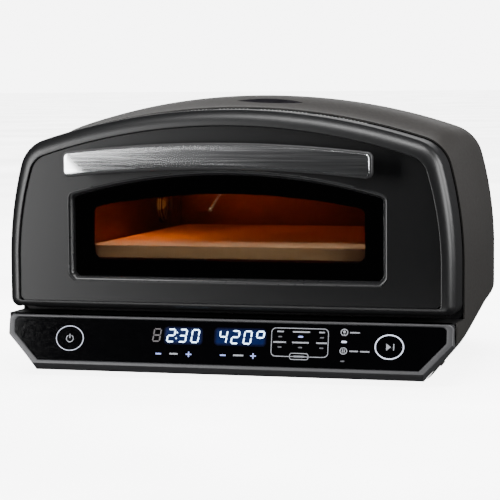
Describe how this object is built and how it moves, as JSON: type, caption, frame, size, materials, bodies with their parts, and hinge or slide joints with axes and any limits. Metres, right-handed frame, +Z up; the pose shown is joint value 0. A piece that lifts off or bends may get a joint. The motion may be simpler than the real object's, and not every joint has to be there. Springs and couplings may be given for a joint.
{
  "type": "countertop pizza oven",
  "caption": "Electric countertop pizza oven: arched steel body, bottom-hinged glass door with bow handle, slanted touch panel, baking stone and heating elements.",
  "frame": {"origin": "on the table plane under the middle of the object, feet bottoms at Z = 0", "axes": "+X to the right as seen from the front, +Y to the back, +Z up; the door faces -Y"},
  "size_m": [0.453, 0.429, 0.2736],
  "materials": {
    "casing_paint": "satin warm dark grey powder coat",
    "black_steel": "black coated steel",
    "foot_rubber": "matt black",
    "bezel_plastic": "satin dark grey",
    "touch_glass": "black back-printed gloss glass",
    "display_plastic": "dark smoked",
    "display_light": "lit blue-white",
    "key_light": "lit white",
    "circuit_board": "green solder mask",
    "white_plastic": "matt white",
    "bright_steel": "plain bright steel",
    "glass_wool": "pale mineral wool",
    "heater_tube": "hot, dull orange",
    "fired_clay": "beige unglazed",
    "lamp_glow": "warm clear bulb",
    "white_ceramic": "unglazed white",
    "clear_glass": "clear",
    "black_plastic": "matt black",
    "dark_steel": "blackened steel",
    "brass_posts": "plain brass",
    "rim_paint": "satin charcoal",
    "panel_paint": "satin near-black",
    "tinted_glass": "lightly smoked",
    "black_enamel": "gloss black frit",
    "gasket_cloth": "grey braided glass fibre",
    "brushed_plate": "fine lengthwise brushing"
  },
  "bodies": {
    "oven": {"casing": "casing_paint", "rear_cover": "black_steel", "base_pan": "black_steel", "feet": "foot_rubber", "front_frame": "black_steel", "control_bezel": "bezel_plastic", "control_glass": "touch_glass", "display_window": "display_plastic", "display_digits": "display_light", "touch_key_rings": "key_light", "control_board": "circuit_board", "display_holder": "white_plastic", "cavity_liner": "bright_steel", "insulation_blanket": "glass_wool", "upper_element": "heater_tube", "upper_element_clips": "bright_steel", "lower_element": "heater_tube", "stone_rails": "bright_steel", "baking_stone": "fired_clay", "temperature_probe": "bright_steel", "lamp_bulb": "lamp_glow", "lamp_socket": "white_ceramic", "lamp_cover": "clear_glass", "fan_frame": "black_plastic", "fan_motor": "dark_steel", "fan_bracket": "bright_steel", "power_board": "circuit_board", "board_standoffs": "brass_posts", "terminal_block": "white_ceramic", "thermal_cutout": "brass_posts", "cord_inlet": "black_plastic", "crown_vent": "black_plastic", "hinge_brackets": "bright_steel", "door_buffers": "foot_rubber", "casing_screws": "dark_steel", "rear_screws": "dark_steel", "base_screws": "bright_steel", "bracket_screws": "bright_steel"},
    "door": {"hinge_pins": "dark_steel", "door_rim": "rim_paint", "door_panel": "panel_paint", "window_frame": "panel_paint", "outer_glass": "tinted_glass", "glass_mask": "black_enamel", "inner_glass": "clear_glass", "glass_spacers": "bright_steel", "door_liner": "black_steel", "door_gasket": "gasket_cloth", "hinge_knuckles": "bright_steel", "handle_plate": "brushed_plate", "handle_grip": "black_plastic", "handle_posts": "black_plastic", "handle_screws": "bright_steel", "door_screws": "bright_steel"},
    "fan": {"fan_rotor": "black_plastic"}
  },
  "joints": [
    {"name": "door_hinge", "type": "hinge", "parent": "oven", "child": "door", "pos_m": [0, -0.1735, 0.075], "axis": [1, 0, 0], "range_deg": [0, 90]},
    {"name": "fan_spin", "type": "hinge", "parent": "oven", "child": "fan", "pos_m": [0, 0.1805, 0.047], "axis": [0, 1, 0], "continuous": true}
  ]
}
